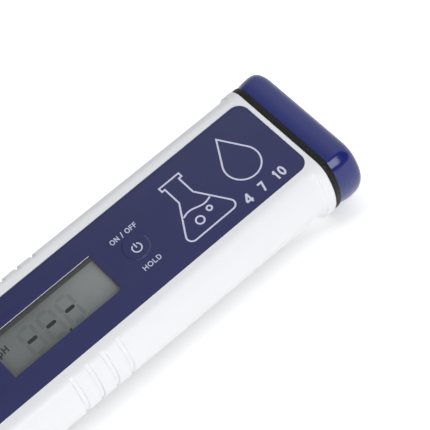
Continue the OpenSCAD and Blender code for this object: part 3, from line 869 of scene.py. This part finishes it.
def rubbery(name, color, roughness=0.62):
    """Matt rubber with a light bloom and a scatter of paler grains."""
    n = Nodes(name)
    bloom = n.window(n.noise(260.0, 6.0), 0.45, 0.8)
    base = n.mix(bloom, shade(color, 1.0), shade(color, 1.5))
    grains = n.window(n.noise(4200.0, 2.0), 0.60, 0.74, 0.0, 0.6)
    base = n.mix(grains, base, rgb(0.08, 0.08, 0.085))
    normal = n.bump(n.noise(4200.0, 2.0), 0.5, 0.00005)
    return n.surface(Base_Color=base, Roughness=n.ramp(n.noise(700.0), roughness - 0.08, roughness + 0.1),
                     Normal=normal, Specular_IOR_Level=0.3)


def metal(name, color, roughness=0.25, stretch=(1, 1, 12)):
    """Plated or drawn metal: brushed bump, stains and duller patches."""
    n = Nodes(name)
    grain = n.noise(1800.0, 4.0, 0.6, stretch)
    stain = n.window(n.noise(400.0, 6.0), 0.5, 0.8)
    base = n.mix(stain, shade(color, 1.0), shade(color, 0.78))
    return n.surface(Base_Color=base, Metallic=1.0, Normal=n.bump(grain, 0.15, 0.00002),
                     Roughness=n.math("ADD", n.ramp(grain, roughness - 0.06, roughness + 0.06),
                                      n.math("MULTIPLY", stain, 0.12)))


def clear(name, tint, roughness, share):
    """Clear sheet or thin glass: mostly see-through, with a reflecting skin that smears slightly."""
    n = Nodes(name)
    smear = n.window(n.noise(160.0, 6.0, 0.6), 0.5, 0.85, roughness, roughness + 0.08)
    glossy = n.add("ShaderNodeBsdfGlossy", Roughness=smear)
    through = n.add("ShaderNodeBsdfTransparent", Color=tint)
    fresnel = n.add("ShaderNodeFresnel", IOR=1.49)
    front = n.ramp(n.add("ShaderNodeNewGeometry").outputs["Backfacing"], 1.0, 0.0)
    mixer = n.add("ShaderNodeMixShader")
    factor = n.math("MULTIPLY", n.math("ADD", fresnel.outputs[0], share), front)
    for socket, value in zip(mixer.inputs, (factor, through.outputs[0], glossy.outputs[0])):
        n.put(socket, value)
    return n.finish(mixer)


def white_housing():
    n = Nodes("housing_white")
    warm, cool = rgb(0.80, 0.81, 0.83), rgb(0.83, 0.84, 0.86)
    base = n.mix(n.noise(60.0, 3.0), warm, cool)
    dust = n.window(n.noise(1500.0, 8.0, 0.75), 0.66, 0.8, 0.0, 0.12)
    base = n.mix(dust, base, rgb(0.62, 0.62, 0.62))
    # Painted shade: hollow edges, such as the grip grooves, are darkened to a bluish grey.
    base = n.mix(n.edges(0.47, 0.40), base, rgb(0.58, 0.61, 0.68))
    roughness = n.window(n.noise(240.0, 7.0, 0.7, (1, 1, 0.3)), 0.4, 0.8, 0.36, 0.5)
    return n.surface(Base_Color=base, Roughness=roughness, IOR=1.48,
                     Normal=n.bump(n.noise(5200.0, 2.0), 0.12, 0.00002))


def navy_film(name, low, high, painted_highlight=0.0):
    n = Nodes(name)
    base = n.mix(n.noise(80.0, 3.0), rgb(0.011, 0.015, 0.092), rgb(0.016, 0.019, 0.103))
    # Painted highlight: a share of pale blue-grey mixed into the navy, used on the lit part of the power
    # key's edge.
    base = n.mix(painted_highlight, base, rgb(0.5, 0.5, 0.6))
    speck = n.window(n.noise(5000.0, 3.0, 0.8), 0.70, 0.85, 0.0, 0.25)
    base = n.mix(speck, base, rgb(0.07, 0.075, 0.2))
    roughness = n.window(n.noise(300.0, 6.0), 0.3, 0.8, low, high)
    return n.surface(Base_Color=base, Roughness=roughness, IOR=1.5,
                     Normal=n.bump(n.noise(6500.0, 2.0), 0.10, 0.00002))


def film_edge():
    n = Nodes("label_cut_edge")
    base = n.mix(n.noise(900.0), rgb(0.72, 0.72, 0.8), rgb(0.85, 0.85, 0.9))
    return n.surface(Base_Color=base, Roughness=0.4)


def cap_blue():
    n = Nodes("cap_blue")
    base = n.mix(n.noise(70.0, 3.0), rgb(0.009, 0.017, 0.148), rgb(0.013, 0.021, 0.170))
    rub = n.math("MULTIPLY", n.edges(), n.ramp(n.noise(1200.0, 6.0), 0.0, 0.12))
    base = n.mix(rub, base, rgb(0.12, 0.13, 0.42))
    scratch = n.window(n.noise(700.0, 8.0, 0.8, (1, 1, 0.08)), 0.62, 0.78, 0.0, 0.1)
    roughness = n.math("ADD", n.ramp(n.noise(200.0, 5.0), 0.13, 0.19), scratch)
    return n.surface(Base_Color=base, Roughness=roughness, IOR=1.60,
                     Normal=n.bump(n.noise(1900.0, 2.0), 0.14, 0.00003))


def ink_white():
    n = Nodes("ink_white")
    base = n.mix(n.noise(2600.0, 5.0), rgb(0.56, 0.56, 0.72), rgb(0.68, 0.68, 0.82))
    return n.surface(Base_Color=base, Roughness=n.ramp(n.noise(800.0), 0.4, 0.55),
                     Normal=n.bump(n.noise(4000.0), 0.1, 0.00001))


def lcd_glass():
    n = Nodes("lcd_glass")
    height = n.add("ShaderNodeSeparateXYZ", Vector=n.place)
    # Painted light: the display is painted lighter over its upper part, towards its top end.
    along = n.window(height.outputs[2], WINDOW_LOW + 0.42 * (WINDOW_TOP - WINDOW_LOW), WINDOW_TOP)
    base = n.mix(along, rgb(0.185, 0.187, 0.185), rgb(0.33, 0.332, 0.33))
    cloud = n.noise(130.0, 4.0)
    base = n.mix(n.window(cloud, 0.4, 0.75, 0.0, 0.5), base, rgb(0.165, 0.20, 0.205))
    fleck = n.window(n.noise(5200.0, 3.0), 0.35, 0.75, 0.92, 1.06)
    scaled = n.add("ShaderNodeVectorMath", operation="SCALE")
    n.put(scaled.inputs[0], base)
    n.put(scaled.inputs["Scale"], fleck)
    return n.surface(Base_Color=scaled.outputs[0], Roughness=n.ramp(cloud, 0.28, 0.4),
                     Normal=n.bump(n.noise(3000.0), 0.05, 0.00002), Specular_IOR_Level=0.2)


def lcd_ink(name, color, alpha):
    n = Nodes(name)
    base = n.mix(n.noise(2000.0), shade(color, 0.9), shade(color, 1.1))
    return n.surface(Base_Color=base, Roughness=n.ramp(n.noise(900.0), 0.4, 0.5), Alpha=alpha,
                     Specular_IOR_Level=0.1)


def board_mask():
    """Green solder mask over faint copper tracks."""
    n = Nodes("board_green")
    tracks = n.add("ShaderNodeTexBrick", Vector=n.place, Scale=260.0, Color1=rgb(0.02, 0.13, 0.05),
                   Color2=rgb(0.025, 0.16, 0.06), Mortar=rgb(0.06, 0.30, 0.12))
    base = n.mix(n.window(n.noise(500.0), 0.35, 0.65), rgb(0.015, 0.11, 0.045), tracks.outputs["Color"])
    return n.surface(Base_Color=base, Roughness=n.ramp(n.noise(600.0), 0.25, 0.4),
                     Normal=n.bump(tracks.outputs["Fac"], 0.2, 0.00003))


def foam():
    n = Nodes("sponge_foam")
    pores = n.add("ShaderNodeTexVoronoi", Vector=n.place, Scale=1400.0)
    # Painted shade: the pore hollows are painted a darker brown.
    depth = n.window(pores.outputs["Distance"], 0.1, 0.6)
    base = n.mix(depth, rgb(0.30, 0.22, 0.08), rgb(0.80, 0.66, 0.30))
    return n.surface(Base_Color=base, Roughness=0.92, Normal=n.bump(depth, 1.0, 0.00025))


def resin():
    n = Nodes("potting_resin")
    base = n.mix(n.noise(300.0), rgb(0.10, 0.05, 0.02), rgb(0.2, 0.1, 0.04))
    return n.surface(Base_Color=base, Roughness=n.ramp(n.noise(500.0), 0.12, 0.25))


MOULDED = {  # colour, roughness, grain, its scale, colour drift, wear
    "dark_frame": ((0.07, 0.072, 0.072), 0.4, 0.1),
    "switch_black": ((0.02, 0.02, 0.021), 0.45, 0.2),
    "tray_grey": ((0.48, 0.49, 0.50), 0.42, 0.2, 2600.0, 0.04, 0.3),
    "chip_black": ((0.015, 0.015, 0.016), 0.5, 0.4, 4000.0),
    "ceramic_tan": ((0.45, 0.32, 0.18), 0.5, 0.2, 4000.0, 0.15),
    "chassis_grey": ((0.24, 0.26, 0.29), 0.45, 0.25, 2600.0, 0.05, 0.3),
    "head_grey": ((0.075, 0.08, 0.09), 0.42, 0.25, 2600.0, 0.06, 0.4),
    "junction_ceramic": ((0.72, 0.70, 0.62), 0.8, 0.8, 3500.0, 0.06),
    "lead_red": ((0.42, 0.02, 0.015), 0.45, 0.1),
    "lead_black": ((0.016, 0.016, 0.017), 0.5, 0.15),
}
RUBBERY = {  # colour, roughness
    "gasket_rubber": ((0.005, 0.005, 0.0055), 0.5),
    "key_rubber": ((0.03, 0.034, 0.05), 0.6),
    "zebra_rubber": ((0.42, 0.16, 0.2), 0.6),
}
METAL = {  # colour, roughness, stretch of the brushing
    "screw_steel": ((0.62, 0.62, 0.63), 0.26, (1, 1, 1)),
    "cell_steel": ((0.70, 0.70, 0.71), 0.2, (1, 6, 1)),
    "contact_nickel": ((0.66, 0.64, 0.60), 0.3),
    "spring_brass": ((0.78, 0.58, 0.24), 0.24),
    "silver_metal": ((0.75, 0.74, 0.72), 0.3),
}


def slot_materials():
    """One procedural material for each of the record's material slots."""
    looks = {
        "housing_white": white_housing(),
        "label_blue": navy_film("label_navy", 0.36, 0.46),
        "cap_blue": cap_blue(),
        "clear_pane": clear("clear_pane", rgb(0.97, 0.98, 0.98), 0.05, 0.0),
        "electrode_glass": clear("electrode_glass", rgb(0.93, 0.97, 0.98), 0.02, 0.06),
        "board_green": board_mask(),
        "lcd_glass": lcd_glass(),
        "potting_resin": resin(),
        "sponge_foam": foam(),
    }
    for finish, table in ((moulded, MOULDED), (rubbery, RUBBERY), (metal, METAL)):
        for name, values in table.items():
            looks[name] = finish(name, *values)
    return looks


def paint(thing, material):
    thing.data.materials.clear()
    thing.data.materials.append(material)


def paint_where(thing, material, chosen):
    """Gives the chosen faces a second material."""
    thing.data.materials.append(material)
    for face in thing.data.polygons:
        if chosen(face):
            face.material_index = 1


def on_highlit_shoulder(face):
    """The upper right part of the power key's sloping edge, the side towards the key light, which is given a
    painted highlight.
    """
    side, up = face.center.x, face.center.z - KEY_CENTRE.z
    half_turn = 1.4 * (side + up)
    return KEY_HIGH.x - KEY_SHOULDER < math.hypot(side, up) < half_turn and face.normal.y < -0.2


def on_cut_edge(face):
    """The long walls of the label's display cut-out."""
    reach, c = 0.2 * MM, face.center
    inside = abs(c.x) < WINDOW_HALF + reach and WINDOW_LOW - reach < c.z < WINDOW_TOP + reach
    return inside and abs(face.normal.x) > 0.5


def on_end_wall(face):
    return abs(face.normal.z) > 0.5


def place(thing, body, slot, material, *nodes):
    paint(thing, material)
    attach(thing, body)
    if nodes:
        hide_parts(*nodes)
    return thing


PIECES = (
    (build_housing, "root", "housing_white", "housing"),
    (build_label, "root", "label_blue", "front_label"),
    (build_pane, "root", "clear_pane", "lcd_window"),
    (build_surround, "root", "dark_frame", "window_frame"),
    (build_key, "power_key", "label_blue", "power_button"),
    (build_calibration_key, "calibration_key", "key_rubber", "calibration_button"),
    (build_battery_cap, "battery_pack", "cap_blue", "battery_cap"),
    (build_gasket, "battery_pack", "gasket_rubber", "cap_gasket"),
    (build_sensor_cap, "sensor_cap", "cap_blue", "protective_cap"),
    (build_sponge, "sensor_cap", "sponge_foam", "storage_sponge"),
)


def dress():
    """Builds every piece, puts it on its body and gives each CAD node its material."""
    looks = slot_materials()
    for part in frame["record"]["subparts"]:
        paint(frame["nodes"][part["node"]], looks[part["material_slot"]])
    built = {node: place(build(), body, slot, looks[slot], node) for build, body, slot, node in PIECES}
    paint_where(built["front_label"], film_edge(), on_cut_edge)
    paint_where(built["window_frame"], moulded("frame_end_grey", (0.30, 0.30, 0.27), 0.45, 0.1), on_end_wall)
    # Painted highlight: the upper right of the power key's sloping edge, towards the key light, is painted a
    # paler navy.
    paint_where(built["power_button"], navy_film("key_edge_painted_highlight", 0.36, 0.46, 0.05), on_highlit_shoulder)
    ink = ink_white()
    prints, icon = build_prints()
    for piece in prints:
        place(piece, "root", "label_blue", ink)
    place(icon, "power_key", "label_blue", ink)
    lit, ghosts, unit = build_display()
    for piece, look in ((lit, lcd_ink("lcd_segment", (0.012, 0.016, 0.022), 1.0)),
                        (unit, lcd_ink("lcd_unit", (0.03, 0.035, 0.04), 1.0)),
                        (ghosts, lcd_ink("lcd_ghost", (0.14, 0.22, 0.225), 0.16))):
        place(piece, "root", "lcd_glass", look)


# ---- Stage, light and camera ----

VIEW_AZIMUTH, VIEW_ELEVATION, VIEW_ROLL = 26.0, -15.575, 50.09
VIEW_DISTANCE = 308.03 * MM
VIEW_LENS = 144.52
AIM = Vector((5.28 * MM, FRONT, LABEL_HIGH.z - 19.4 * MM))


# Painted light on the table: its glow seen by the camera on the left and on the right, and a glow that only
# the meter sees.
TABLE_GLOW_LEFT, TABLE_GLOW_RIGHT, TABLE_BOUNCE = 0.80, 0.45, 0.25
# A contact shadow painted on the table: where it starts and ends, how dark it gets, and where it fades out
# near the cap's top and the lower end.
SHADE_START, SHADE_END, SHADE_DEPTH = 10.6 * MM, 18.5 * MM, 0.88   # to the right of the meter's middle
SHADE_TOP, SHADE_TOP_END = CAP_HIGH.z - 22 * MM, CAP_HIGH.z + 6 * MM
SHADE_LOW, SHADE_LOW_END = 6 * MM, -6 * MM
SKY_BRIGHT, SKY_DIM, SKY_SEEN = 0.95, 0.08, 0.92


def build_camera():
    azimuth, elevation = math.radians(VIEW_AZIMUTH), math.radians(VIEW_ELEVATION)
    level = math.cos(elevation)
    back = Vector((math.sin(azimuth) * level, -math.cos(azimuth) * level, math.sin(elevation)))
    data = bpy.data.cameras.new("camera")
    data.lens, data.sensor_width = VIEW_LENS, 36.0
    data.clip_start, data.clip_end = 0.01, 20.0
    camera = link("camera", data)
    upright = (-back).to_track_quat("-Z", "Y").to_matrix()
    turn = Matrix.Rotation(math.radians(VIEW_ROLL), 3, "Z")
    camera.matrix_world = Matrix.Translation(AIM + back * VIEW_DISTANCE) @ (upright @ turn).to_4x4()
    bpy.context.scene.camera = camera
    return camera


def stage_material():
    """White table top, overexposed in the camera's eyes by a painted glow that is stronger on the left; a
    weaker painted glow lights the meter, and a contact shadow is painted along the meter's right side.
    """
    n = Nodes("table_white")
    across, _, along = n.add("ShaderNodeSeparateXYZ", Vector=n.place).outputs
    # Painted contact shadow: the table's colour and its glow are darkened beside the meter's right side,
    # fading out towards the cap's top and the lower end, and absent on the left.
    beside = n.window(across, SHADE_START, SHADE_END)
    beyond = n.window(along, SHADE_TOP, SHADE_TOP_END)
    below = n.window(along, SHADE_LOW, SHADE_LOW_END)
    outside = n.math("MAXIMUM", n.math("MAXIMUM", beyond, below), n.math("LESS_THAN", across, 0.0))
    under = n.math("MAXIMUM", beside, outside)
    tint = n.mix(n.noise(8.0), rgb(0.80, 0.80, 0.80), rgb(0.82, 0.82, 0.82))
    tint = n.mix(under, shade(rgb(0.81, 0.81, 0.81), SHADE_DEPTH), tint)
    diffuse = n.add("ShaderNodeBsdfDiffuse", Color=tint)
    seen = n.add("ShaderNodeLightPath").outputs["Is Camera Ray"]
    # Painted light: the camera-only glow is stronger on the left, where the key light's shadow would fall.
    glare = n.window(across, HOUSING_LOW.x, HOUSING_HIGH.x, TABLE_GLOW_LEFT, TABLE_GLOW_RIGHT)
    glare = n.math("MULTIPLY", glare, under)
    # Painted light: a glow that lights the meter but that the camera does not see.
    bounce = n.math("MULTIPLY", n.ramp(seen, 1.0, 0.0), TABLE_BOUNCE)
    strength = n.math("ADD", n.math("MULTIPLY", seen, glare), bounce)
    glow = n.add("ShaderNodeEmission", Color=rgb(1, 1, 1), Strength=strength)
    both = n.add("ShaderNodeAddShader")
    for socket, shader in zip(both.inputs, (diffuse, glow)):
        n.put(socket, shader.outputs[0])
    return n.finish(both)


def build_stage(camera):
    """The table that the meter lies on; it is shown only to a camera on the meter's front side."""
    reach = 1.6
    y = BACK + 0.02 * MM
    middle = (HOUSING_LOW.z + HOUSING_HIGH.z) / 2
    corners = [(x * reach, y, middle + z * reach) for x, z in ((-1, -1), (1, -1), (1, 1), (-1, 1))]
    table = make("table", corners, [(0, 1, 2, 3)])
    table.data.materials.append(stage_material())
    driver = table.driver_add("hide_render").driver
    driver.type = "SCRIPTED"
    variable = driver.variables.new()
    variable.name, variable.type = "depth", "TRANSFORMS"
    target = variable.targets[0]
    target.id, target.transform_type, target.transform_space = camera, "LOC_Y", "WORLD_SPACE"
    driver.expression = "depth > 0"


def build_light():
    """One large panel beyond the meter's right side."""
    direction, distance = Vector((0.746, -0.626, -0.225)).normalized(), 0.9
    data = bpy.data.lights.new("key", "AREA")
    data.shape = "RECTANGLE"
    data.size, data.size_y, data.energy = 0.7, 0.88, 7.2
    light = link("key", data)
    light.location = Vector((0, 0, (HOUSING_LOW.z + HOUSING_HIGH.z) / 2)) + direction * distance
    light.rotation_mode = "QUATERNION"
    light.rotation_quaternion = (-direction).to_track_quat("-Z", "Y")


def build_world():
    """A broad overhead panel on the left half of the room, dark beyond it and plain to the camera."""
    n = Nodes("studio", bpy.data.worlds, "ShaderNodeOutputWorld", "Generated")
    x, y, z = n.add("ShaderNodeSeparateXYZ", Vector=n.place).outputs
    across = n.window(x, 0.26, 0.34, SKY_BRIGHT, SKY_DIM, "SMOOTHSTEP")
    along = n.window(z, -0.1, 0.35, 0.45, 1.0, "SMOOTHSTEP")
    behind = n.window(y, 0.0, 0.1, 0.0, 0.75, "SMOOTHSTEP")
    aside = n.window(x, -0.95, -0.6, 0.75, 1.0, "SMOOTHSTEP")
    panel = n.math("MULTIPLY", n.math("MULTIPLY", across, aside), along)
    room = n.math("MAXIMUM", panel, behind)
    seen = n.add("ShaderNodeLightPath").outputs["Is Camera Ray"]
    strength = n.add("ShaderNodeMix", Factor=seen, A=room, B=SKY_SEEN).outputs[0]
    background = n.add("ShaderNodeBackground", Color=rgb(0.97, 0.98, 1.0), Strength=strength)
    bpy.context.scene.world = n.finish(background)


dress()
build_stage(build_camera())
build_world()
build_light()
bpy.context.scene.view_settings.view_transform = "Standard"
